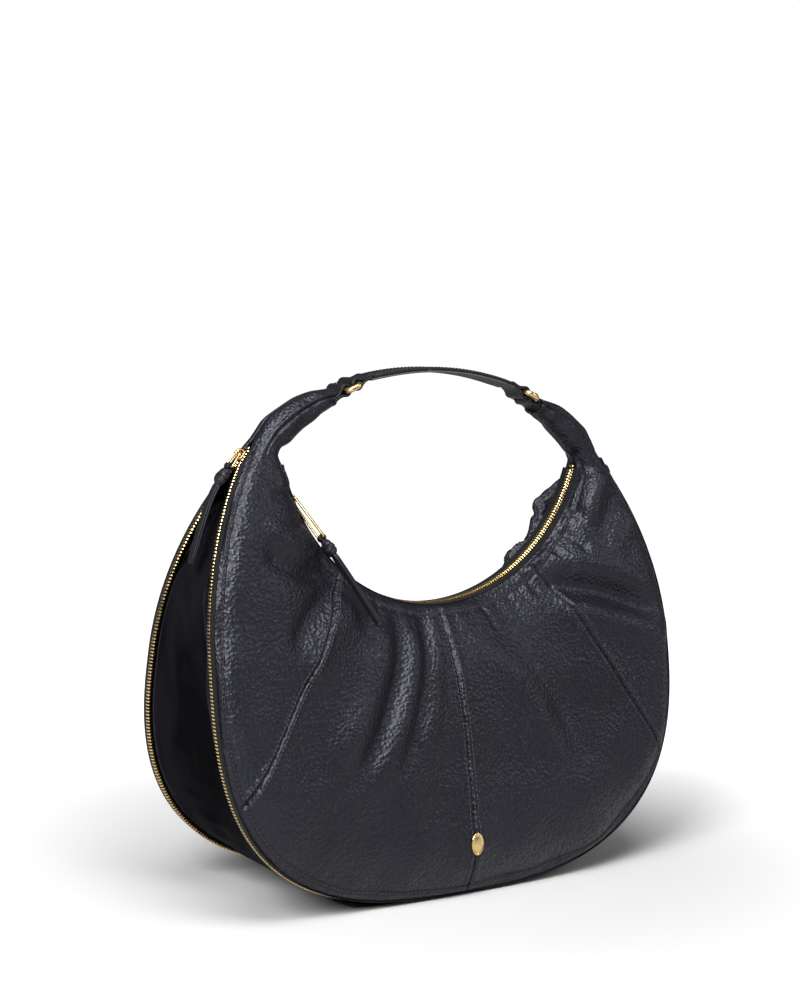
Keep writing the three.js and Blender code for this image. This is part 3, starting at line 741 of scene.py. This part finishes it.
# ---- Zip stops and end tab ----
# A small metal staple closes each end of the mouth chain and the start of the rim chain, whose
# far end is covered by a folded leather tab.
def pillow(size, power_of=6.0, rows=18, columns=28):
    """Closed block with rounded edges: a sphere whose coordinates follow the superellipse
    rule |x/a|^p + |y/b|^p + |z/c|^p = 1. Returns points in mm and faces."""
    v = np.linspace(0, math.pi, rows + 2)[1:-1, None]
    u = np.linspace(0, 2 * math.pi, columns, endpoint=False)[None, :]
    way = np.stack([np.sin(v) * np.cos(u), np.sin(v) * np.sin(u), np.cos(v) + 0 * u], -1)
    length = (np.abs(way) ** power_of).sum(-1, keepdims=True) ** (-1 / power_of)
    body = (way * length).reshape(-1, 3)
    points = np.concatenate([body, [[0, 0, 1], [0, 0, -1]]]) * np.array(size) / 2
    faces = grid_faces(rows, columns, close_columns=True)
    k = np.arange(columns)
    k2, last, n = (k + 1) % columns, (rows - 1) * columns, rows * columns
    faces += np.stack([np.full(columns, n), k, k2], -1).tolist()
    faces += np.stack([np.full(columns, n + 1), last + k2, last + k], -1).tolist()
    return points, faces


def placed(points, origin, x_axis, z_axis):
    """Points in a piece's own axes carried to its place, in metres."""
    x, z = unit(np.asarray(x_axis, float)), unit(np.asarray(z_axis, float))
    return (np.asarray(points) @ np.stack([x, np.cross(z, x), z]) + np.asarray(origin)) * MM


def spot(curve, s, out, facing=1):
    """Place on a curve, the direction along it and the direction out of the tape."""
    (x, z), (nx, nz) = beside(curve, s, out), outward(curve, s)
    return np.array([x, 0, z]), np.array([-nz, 0, nx]), facing * np.array([nx, 0, nz])


for name, curve, s, out in (
        ("mouth_stop_left", mouth_curve, -0.9746, MOUTH_OUT),
        ("mouth_stop_right", mouth_curve, 0.9746, MOUTH_OUT),
        ("expansion_stop", rim_curve, -0.9935, RIM_OUT)):
    points, faces = pillow((2.2, 5.0, 2.8), 5.0)
    staple = numbered_mesh(name + "_staple", placed(points, *spot(curve, s, out)), faces)
    staple.data.materials.append(gold_plate)
    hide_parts(name)
    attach(staple, "bag")
points, faces = pillow((9.5, 12.0, 4.2), 4.0, 26, 40)
tab = numbered_mesh("zip_end_tab", placed(points, *spot(rim_curve, 0.962, 4.8)), faces)
tab.data.materials.append(black_leather)
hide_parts("expansion_end_tab")
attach(tab, "bag")


# ---- Sliders ----
# Cast and plated: a shield-shaped plate above and below the teeth, a post between them and a
# bridge on top that holds the pull.
def joined_forms(name, forms):
    """One mesh from several lists of points in metres and faces."""
    points, faces, first = [], [], 0
    for form_points, form_faces in forms:
        points.append(form_points)
        faces += [[c + first for c in f] for f in form_faces]
        first += len(form_points)
    return numbered_mesh(name, np.concatenate(points), faces)


def round_bar(path, normal, radius, sides=12, closed=False, flat=1.0):
    """Round wire along a path that lies in one plane: a circle carried at right angles to the
    path's own direction, flattened by flat across the plane. Returns points and faces."""
    path = np.asarray(path, float)
    if closed:
        way = np.roll(path, -1, 0) - np.roll(path, 1, 0)
    else:
        way = np.gradient(path, axis=0)
    normal = unit(np.broadcast_to(np.asarray(normal, float), path.shape))
    side = unit(np.cross(way, normal))
    turn = np.linspace(0, 2 * math.pi, sides, endpoint=False)
    ring = (path[:, None] + radius * (np.cos(turn)[None, :, None] * side[:, None]
                                      + flat * np.sin(turn)[None, :, None] * normal[:, None]))
    faces = grid_faces(len(path), sides, close_rows=closed, close_columns=True, flip=True)
    if not closed:
        last = (len(path) - 1) * sides
        faces += [list(range(sides)), list(range(last + sides - 1, last - 1, -1))]
    return ring.reshape(-1, 3), faces


def shield_plate(level):
    """Slider plate in mm: a superellipse 9.4 long whose rear half narrows, 1.1 thick, with
    edges rounded by three rings."""
    turn = np.linspace(0, 2 * math.pi, 40, endpoint=False)
    x = 4.7 * power(np.cos(turn), 0.7)
    y = 4.3 * power(np.sin(turn), 0.7) * (1 - 0.16 * (x / 4.7 < 0) * (x / 4.7) ** 2)
    rings = [np.column_stack([x * k, y * k, np.full(40, level + h)]) for k, h in (
        (0.0, -0.55), (0.9, -0.55), (1.0, -0.3), (1.0, 0.3), (0.9, 0.55), (0.62, 0.72),
        (0.0, 0.74))]
    return np.concatenate(rings), grid_faces(7, 40, close_columns=True)


MOUTH_SPOT = spot(mouth_curve, -62 / MOUTH_DEGREES, MOUTH_OUT, -1)
RIM_SPOT = spot(rim_curve, -127.3 / RIM_DEGREES, RIM_OUT, 1)
PIN_HEIGHT = 5.0
for name, (origin, along, out) in (("mouth_slider", MOUTH_SPOT), ("expansion_slider", RIM_SPOT)):
    across = np.cross(out, along)
    arch = np.linspace(0, math.pi, 21)
    bridge = np.column_stack([3.5 * np.cos(arch), 0 * arch, 2.4 + 4.3 * np.sin(arch) ** 0.8])
    forms = [(placed(points, origin, along, out), faces) for points, faces in (
        shield_plate(2.4), shield_plate(-2.4), round_bar(bridge, (0, 1, 0), 0.75, 12, flat=1.7))]
    post, post_faces = pillow((2.2, 1.0, 4.8), 4.0)
    forms.append((placed(post + np.array([3.0, 0, 0]), origin, along, out), post_faces))
    slider = joined_forms(name + "_casting", forms)
    slider.data.materials.append(gold_plate)
    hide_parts(name)
    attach(slider, name)


# ---- Zip pulls ----
# A closed wire hangs in each slider's bridge, long on the mouth zip and short on the rim zip,
# with a leather thong knotted round its end and left as a flat two-layer tail.
strap_leather = pebbled_leather("strap_leather", (0.0042, 0.0042, 0.0055),
                                (0.0095, 0.0095, 0.012), grain=950.0, depth=0.16, gloss=0.4)


def rounded_loop(x0, x1, near, far, radius):
    """Closed outline in the XY plane: straight sides from half-width near at x0 to far at x1,
    and a quarter circle at each corner."""
    turn = np.linspace(0, math.pi / 2, 9)
    corners = (((x1 - radius, far - radius), 0), ((x0 + radius, near - radius), 1),
               ((x0 + radius, radius - near), 2), ((x1 - radius, radius - far), 3))
    points = [np.column_stack([cx + radius * np.cos(turn + q * math.pi / 2),
                               cy + radius * np.sin(turn + q * math.pi / 2), 0 * turn])
              for (cx, cy), q in corners]
    return np.concatenate(points)


def flat_band(path, across, width, thickness, corner=0.5, crown=0.0):
    """Strip along a path, in mm: a rectangle with rounded corners carried at right angles to
    it, its middle raised by crown. width may vary along the path. Returns points and faces."""
    path = np.asarray(path, float)
    way = unit(np.gradient(path, axis=0))
    across = np.broadcast_to(np.asarray(across, float), path.shape)
    side = unit(across - way * (across * way).sum(-1, keepdims=True))
    up = np.cross(side, way)
    turn = np.concatenate([np.linspace(0, math.pi / 2, 5) + q * math.pi / 2 for q in range(4)])
    corner_x, corner_y = np.repeat((1, -1, -1, 1), 5), np.repeat((1, 1, -1, -1), 5)
    inner = np.linspace(0.8, -0.8, 7)
    width = np.broadcast_to(width, (len(path),))[:, None]
    a = corner_x * (width / 2 - corner) + corner * np.cos(turn)
    b = np.broadcast_to(corner_y * (thickness / 2 - corner) + corner * np.sin(turn), a.shape)
    top = inner * (width / 2 - corner), np.full((len(path), 7), thickness / 2.0)
    low = -top[0], -top[1]
    a = np.concatenate([a[:, :5], top[0], a[:, 5:15], low[0], a[:, 15:]], 1)
    b = np.concatenate([b[:, :5], top[1], b[:, 5:15], low[1], b[:, 15:]], 1)
    b = b + crown * np.sign(b) * (1 - np.minimum(np.abs(a) / (width / 2), 1) ** 4)
    ring = path[:, None] + side[:, None] * a[..., None] + up[:, None] * b[..., None]
    count = a.shape[1]
    faces = grid_faces(len(path), count, close_columns=True, flip=True)
    last = (len(path) - 1) * count
    faces += [list(range(count)), list(range(last + count - 1, last - 1, -1))]
    return ring.reshape(-1, 3), faces


def wrapped_knot():
    """Knot in mm along +X: an egg with four turns of thong wound on it aslant, seen as ridges
    parted by narrow grooves."""
    v = np.linspace(0, math.pi, 74)[1:-1, None]
    u = np.linspace(0, 2 * math.pi, 72, endpoint=False)[None, :]
    phase = (1 - np.cos(v)) * 1.55 + 0.5 * np.sin(u + 0.6) * 0.62
    groove = np.abs((phase % 1.0) - 0.5) * 2
    size = 1.0 - 0.2 * smooth((groove - 0.72) / 0.28) + 0.05 * np.sin(3 * u + 4 * v)
    taper = np.sin(v) ** 0.8 * size
    x = 9.3 - 7.0 * np.cos(v) + 0 * u
    ring = np.stack([x, 5.9 * taper * np.cos(u), 4.5 * taper * np.sin(u)], -1)
    n, m = ring.shape[:2]
    points = np.concatenate([ring.reshape(-1, 3), [[2.3, 0, 0], [16.3, 0, 0]]])
    faces = grid_faces(n, m, close_columns=True, flip=True)
    k = np.arange(m)
    k2 = (k + 1) % m
    faces += np.stack([np.full(m, n * m), k2, k], -1).tolist()
    faces += np.stack([np.full(m, n * m + 1), (n - 1) * m + k, (n - 1) * m + k2], -1).tolist()
    return points, faces


def bend_curve(start, middle, end, count):
    """Quadratic curve from start to end, drawn towards middle."""
    k = np.linspace(0, 1, count)[:, None]
    return start * (1 - k) ** 2 + 2 * middle * k * (1 - k) + end * k * k


for name, (origin, along, out), wire_name, length, lean, hang, slider_body, wire_body in (
        ("mouth", MOUTH_SPOT, "pull_stirrup", 36.0, 30, (35, -28, -61), "mouth_slider",
         "mouth_stirrup"),
        ("expansion", RIM_SPOT, "pull_ring", 12.0, 0, (-28, 0, -69), "expansion_slider",
         "expansion_ring")):
    pin = origin + out * PIN_HEIGHT
    pull = unit(along + np.array([0, -math.tan(math.radians(lean)), 0]))
    end = pin + pull * length
    across = np.cross(out, pull)
    wire_points, wire_faces = round_bar(rounded_loop(0, length, 3.7, 4.8, 1.7), (0, 0, 1),
                                        1.0, 14, closed=True)
    wire = numbered_mesh(f"{name}_{wire_name}_wire", placed(wire_points, pin, pull, out),
                         wire_faces)
    wire.data.materials.append(gold_plate)
    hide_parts(f"{name}_{wire_name}")
    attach(wire, wire_body)
    turn = np.linspace(-0.55, -2 * math.pi + 0.55, 36)
    eye_path = np.column_stack([2.25 * np.cos(turn), 0 * turn, 2.25 * np.sin(turn)])
    eye_path = np.concatenate([[[5.5, 0, -1.6]], eye_path, [[5.5, 0, 1.6]]])
    eye, eye_faces = flat_band(eye_path, (0, 1, 0), 5.4, 1.3, 0.4)
    knot, knot_faces = wrapped_knot()
    thong = joined_forms(f"{name}_knotted_thong", [
        (placed(eye, end, pull, out), eye_faces), (placed(knot, end, pull, out), knot_faces)])
    thong.data.materials.append(strap_leather)
    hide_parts(f"{name}_pull_knot")
    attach(thong, f"{name}_pull")
    root, tip = end + pull * 14.5, end + np.array(hang)
    middle_line = bend_curve(root, root + pull * 15, tip, 60)
    k = np.linspace(0, 1, 60)
    width = 6.6 - 1.2 * smooth((0.1 - k) / 0.1) - 3.6 * smooth((k - 0.955) / 0.045) ** 2
    normal = unit(np.cross(across, unit(tip - root)))
    layers = []
    for lift, tuck in ((0.78, 0.0), (-0.78, 0.15)):
        layer, layer_faces = flat_band(middle_line + normal * lift, across, width - tuck, 1.45,
                                       0.5, 0.12)
        layers.append((layer * MM, layer_faces))
    tail = joined_forms(f"{name}_thong_tail", layers)
    tail.data.materials.append(strap_leather)
    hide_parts(f"{name}_pull_tail")
    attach(tail, f"{name}_pull")


# ---- Rings and loops ----
# Rounded rectangular rings of thick gold-plated wire. On each, one leather loop ends the arm
# and another ends the strap; both are folded round a bar and sewn to themselves.
RING_LINK = unit(np.array([math.cos(math.radians(27)), 0, math.sin(math.radians(27))]))
RING_ACROSS = np.array([-RING_LINK[2], 0, RING_LINK[0]])
ARM_PIVOT = np.array([-91, 0, 377.006])
RING_PITCH, RING_WIRE_RADIUS, RING_HALF_WIDTH = 11, 2.2, 15.0
STRAP_PIVOT = ARM_PIVOT + RING_PITCH * RING_LINK


def folded_loop(root, width):
    """Loop in mm about a bar at the origin: a leather strip 1.9 thick that comes in straight
    along the lower side, opens round the bar at a radius of 4.05 and goes back along the
    upper side, where both layers meet again."""
    turn = np.linspace(math.pi * 1.7, math.pi * 0.3, 40)
    bend = np.column_stack([4.05 * np.cos(turn), 0 * turn, 4.05 * np.sin(turn)])
    k = np.linspace(0, 1, 12)[1:-1, None]
    neck, far = np.array([[7.2, 0, -0.97]]), np.array([[root, 0, -0.97]])
    lean = np.array([[4.6, 0, -1.5]])
    lower = np.concatenate([far, mix(far, neck, 0.5), neck,
                            neck * (1 - k) ** 2 + 2 * lean * k * (1 - k) + bend[:1] * k * k])
    path = np.concatenate([lower, bend, lower[::-1] * np.array([1, 1, -1])])
    swell = width - 1.6 * smooth((path[:, 0] - 6) / 6)
    return flat_band(path, (0, 1, 0), swell, 1.9, 0.6, 0.1)


for hand, mirror in (("left", 1), ("right", -1)):
    flip_x = np.array([mirror, 1, 1])

    def handed(points, faces):
        """The left-hand form, or its mirror image with its faces turned back."""
        return points * flip_x, faces if mirror > 0 else [f[::-1] for f in faces]

    ring_line = rounded_loop(-RING_PITCH / 2, RING_PITCH / 2, RING_HALF_WIDTH, RING_HALF_WIDTH,
                             4.0)
    points, faces = round_bar(ring_line, (0, 0, 1), RING_WIRE_RADIUS, 20, closed=True)
    points = placed(points, ARM_PIVOT + RING_PITCH / 2 * RING_LINK, RING_LINK, RING_ACROSS)
    ring = joined_forms(hand + "_handle_ring", [handed(points, faces)])
    ring.data.materials.append(gold_plate)
    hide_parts(hand + "_ring")
    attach(ring, "ring_" + hand)
    for name, node_name, body, pivot, way, root in (
            ("arm_end_fold", hand + "_arm_loop", "handle_arms", ARM_PIVOT,
             unit(np.array([-0.77, 0, -0.638])), 13.5),
            ("strap_end_fold", "strap_loop_" + hand, "strap", STRAP_PIVOT, RING_LINK, 14.3)):
        points, faces = folded_loop(root, 20.6)
        points = placed(points, pivot, way, np.array([-way[2], 0, way[0]]))
        fold = joined_forms(f"{hand}_{name}", [handed(points, faces)])
        fold.data.materials.append(strap_leather)
        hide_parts(node_name)
        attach(fold, body)


# ---- Handle strap ----
# A broad flat strap: leather with turned and stitched edges on top, a grey-green split backing
# below, both bent in one low arch from ring to ring.
STRAP_HALF = 68.6


def strap_line(level, count=121):
    """Arch of the strap, in mm, level above the middle of its leather: a parabola whose top
    stands 397 above the floor and whose ends lie 9 lower."""
    x = np.linspace(-STRAP_HALF, STRAP_HALF, count)
    z = 397.0 - 9.0 * (x / STRAP_HALF) ** 2 + level
    return np.column_stack([x, 0 * x, z])


line = strap_line(0.0)
share = np.abs(line[:, 0]) / STRAP_HALF
strap_width = 26.0 - 3.6 * smooth((share - 0.84) / 0.16)
points, faces = flat_band(line, (0, 1, 0), strap_width, 2.0, 0.8, 0.25)
strap = joined_forms("strap_top", [(points * MM, faces)])
strap.data.materials.append(strap_leather)
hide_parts("handle_strap")
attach(strap, "strap")


def split_hide(name, dark, light):
    """Undyed split leather: mottled fibres and a dull, slightly napped face."""
    material, principled, node, link = shader(name, dark, 0.8)
    place = node("ShaderNodeTexCoord").outputs["Object"]
    fibre = node("ShaderNodeTexNoise", Scale=520.0, Detail=6.0, Distortion=1.5)
    patch = node("ShaderNodeTexNoise", Scale=45.0, Detail=3.0)
    link(place, fibre.inputs["Vector"])
    link(place, patch.inputs["Vector"])
    both = node("ShaderNodeMath", operation="MULTIPLY")
    link(fibre.outputs["Fac"], both.inputs[0])
    link(patch.outputs["Fac"], both.inputs[1])
    link(colour_ramp(node, link, both.outputs["Value"], dark, light, (0.12, 0.42)),
         principled.inputs["Base Color"])
    set_roughness(node, link, principled, fibre.outputs["Fac"], 0.7, 0.95)
    set_bump(node, link, principled, fibre.outputs["Fac"], 0.3, 0.0004)
    return material


backing_hide = split_hide("backing_hide", (0.035, 0.037, 0.032), (0.075, 0.08, 0.07))
points, faces = flat_band(strap_line(-2.15), (0, 1, 0), strap_width - 1.0, 1.6, 0.5)
backing = joined_forms("strap_lining", [(points * MM, faces)])
backing.data.materials.append(backing_hide)
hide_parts("handle_strap_backing")
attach(backing, "strap")


# ---- Ornament ----
# A plain oval gold plate with a domed middle and a raised border, riveted through the middle
# seam low on the front to a washer inside.
ORNAMENT_V = (214.0 - 42.0) / 211.0


def oval_plate(width, height, thickness):
    """Oval disc in mm: rings of an ellipse from the back to a domed face with a border bead."""
    turn = np.linspace(0, 2 * math.pi, 64, endpoint=False)
    profile = ((0.0, 0.0), (0.93, 0.0), (1.0, 0.25), (1.0, 0.7), (0.97, 0.95), (0.92, 1.05),
               (0.86, 0.98), (0.82, 0.74), (0.78, 0.66), (0.6, 0.82), (0.35, 0.98), (0.0, 1.05))
    rings = [np.column_stack([width / 2 * k * np.cos(turn), height / 2 * k * np.sin(turn),
                              np.full(64, h * thickness)]) for k, h in profile]
    return np.concatenate(rings), grid_faces(len(profile), 64, close_columns=True)


plate_at = face_point(0.0, ORNAMENT_V, 0.0, -1) / MM
plate_down = (face_point(0.0, ORNAMENT_V + 0.03, 0.0, -1)
              - face_point(0.0, ORNAMENT_V - 0.03, 0.0, -1))
plate_out = np.array([0, plate_down[2], -plate_down[1]])
for name, node_name, size, level in (
        ("oval_ornament", "ornament_plate", (11, 17, 1.5), 1.7),
        ("rivet_washer", "ornament_washer", (7, 7, 0.6), -3.6)):
    points, faces = oval_plate(*size)
    points = points + np.array([0, 0, level])
    plate = joined_forms(name, [(placed(points, plate_at, (1, 0, 0), plate_out), faces)])
    plate.data.materials.append(gold_plate)
    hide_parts(node_name)
    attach(plate, "bag")


# ---- Stitching ----
# Black bonded thread, 3.4 mm to a stitch: two rows beside every gore seam, one inside the rim
# and one along the mouth of each face, and one along each edge of the strap.
def thread_material():
    """Bonded thread: slightly glossy, with a fine twist across it."""
    material, principled, node, link = shader("bonded_thread", (0.02, 0.02, 0.024), 0.5)
    place = node("ShaderNodeTexCoord").outputs["Object"]
    twist = node("ShaderNodeTexWave", bands_direction="DIAGONAL", Scale=500.0)
    fuzz = node("ShaderNodeTexNoise", Scale=900.0)
    link(place, twist.inputs["Vector"])
    link(place, fuzz.inputs["Vector"])
    link(colour_ramp(node, link, fuzz.outputs["Fac"], (0.014, 0.014, 0.017),
                     (0.045, 0.045, 0.052)), principled.inputs["Base Color"])
    set_roughness(node, link, principled, fuzz.outputs["Fac"], 0.4, 0.65)
    set_bump(node, link, principled, twist.outputs["Fac"], 0.4, 0.0002)
    return material


thread = thread_material()
STITCH_STEP = 3.4


def stitches_on(lines):
    """Stitches along lines of (points, normals) in metres: at each equal step a thread 2.5 mm
    long, a five-sided spindle that sinks into the leather at both ends."""
    turn = np.linspace(0, 2 * math.pi, 5, endpoint=False)
    form = np.concatenate([np.column_stack([np.full(5, at), r * np.cos(turn),
                                            r * np.sin(turn) + lift])
                           for at, r, lift in ((-1.3, 0.12, -0.3), (-0.75, 0.33, 0.06),
                                               (0.75, 0.33, 0.06), (1.3, 0.12, -0.3))])
    faces = grid_faces(4, 5, close_columns=True, flip=True)
    faces += [[0, 1, 2, 3, 4], [19, 18, 17, 16, 15]]
    points, every, count = [], [], 0
    for line, normal in lines:
        run = np.concatenate([[0], np.cumsum(np.linalg.norm(np.diff(line, axis=0), axis=1))])
        at = np.arange(0.5 * STITCH_STEP, run[-1] / MM - 0.5 * STITCH_STEP, STITCH_STEP) * MM
        here, there, up = (np.stack([np.interp(at + e, run, a[:, c]) for c in range(3)], -1)
                           for e, a in ((-1e-4, line), (1e-4, line), (0, normal)))
        along = unit(there - here)
        side = unit(np.cross(up, along))
        up = np.cross(along, side)
        middle = (here + there) / 2
        points.append((middle[:, None] + MM * (
            form[None, :, 0:1] * along[:, None] + form[None, :, 1:2] * side[:, None]
            + form[None, :, 2:3] * up[:, None])).reshape(-1, 3))
        every += [[c + (count + k) * 20 for c in f] for k in range(len(at)) for f in faces]
        count += len(at)
    return np.concatenate(points), every


def face_line(s, v, side):
    """Points on a face and the directions out of it, from small steps to either side."""
    e = 1.5e-3
    here = face_point(s, v, 0.0, side)
    along = face_point(s + e, v, 0.0, side) - face_point(s - e, v, 0.0, side)
    down = face_point(s, v + e, 0.0, side) - face_point(s, v - e, 0.0, side)
    return here, unit(np.cross(down, along) * -side)


for side_name, side in (("front", -1), ("rear", 1)):
    lines = []
    for seam in (-0.5, 0.0, 0.5):
        v = np.linspace(0.035, 0.965, 400)
        for offset in (-3.4, 3.4):
            lines.append(face_line(seam + offset / seam_span(seam, v), v, side))
    s = np.linspace(-0.945, 0.945, 1600)
    lines.append(face_line(s, 1 - 5.2 / face_length(s), side))
    s = np.linspace(-0.93, 0.93, 900)
    lines.append(face_line(s, 6.2 / face_length(s), side))
    points, faces = stitches_on(lines)
    sewing = numbered_mesh(side_name + "_stitching", points, faces)
    sewing.data.materials.append(thread)
    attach(sewing, "bag")
strap_rows = []
for edge in (-1, 1):
    row = strap_line(1.1, 300)
    row[:, 1] = edge * (np.interp(row[:, 0], line[:, 0], strap_width) / 2 - 2.6)
    strap_rows.append((row * MM, np.tile((0.0, 0.0, 1.0), (300, 1))))
points, faces = stitches_on(strap_rows)
strap_sewing = numbered_mesh("strap_stitching", points, faces)
strap_sewing.data.materials.append(thread)
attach(strap_sewing, "strap")


# ---- Floor ----
# One sheet of matt white paper under the bag, with a painted glow that rises further out
# and is seen by the camera only, so that it runs on into the white backdrop.
floor = numbered_mesh("floor", [(-30, -30, 0), (30, -30, 0), (30, 30, 0), (-30, 30, 0)],
                      [[0, 1, 2, 3]])
paper, paper_shader, paper_node, paper_link = shader("white_paper", (0.54, 0.54, 0.54), 0.9)
paper_place = paper_node("ShaderNodeTexCoord").outputs["Object"]
paper_reach = paper_node("ShaderNodeVectorMath", operation="LENGTH")
paper_link(paper_place, paper_reach.inputs[0])
# painted glow: the paper's emission rises from 0 at 0.15 m to 1 at 0.8 m from the middle, and only
# camera rays see it
painted_floor_glow = paper_node("ShaderNodeMapRange", interpolation_type="SMOOTHSTEP")
for key, value in (("From Min", 0.15), ("From Max", 0.8), ("To Min", 0.0), ("To Max", 1.0)):
    painted_floor_glow.inputs[key].default_value = value
paper_link(paper_reach.outputs["Value"], painted_floor_glow.inputs["Value"])
paper_shader.inputs["Emission Color"].default_value = (1, 1, 1, 1)
paper_path = paper_node("ShaderNodeLightPath").outputs["Is Camera Ray"]
painted_glow_seen = paper_node("ShaderNodeMath", operation="MULTIPLY")
paper_link(painted_floor_glow.outputs["Result"], painted_glow_seen.inputs[0])
paper_link(paper_path, painted_glow_seen.inputs[1])
paper_link(painted_glow_seen.outputs["Value"], paper_shader.inputs["Emission Strength"])
floor.data.materials.append(paper)
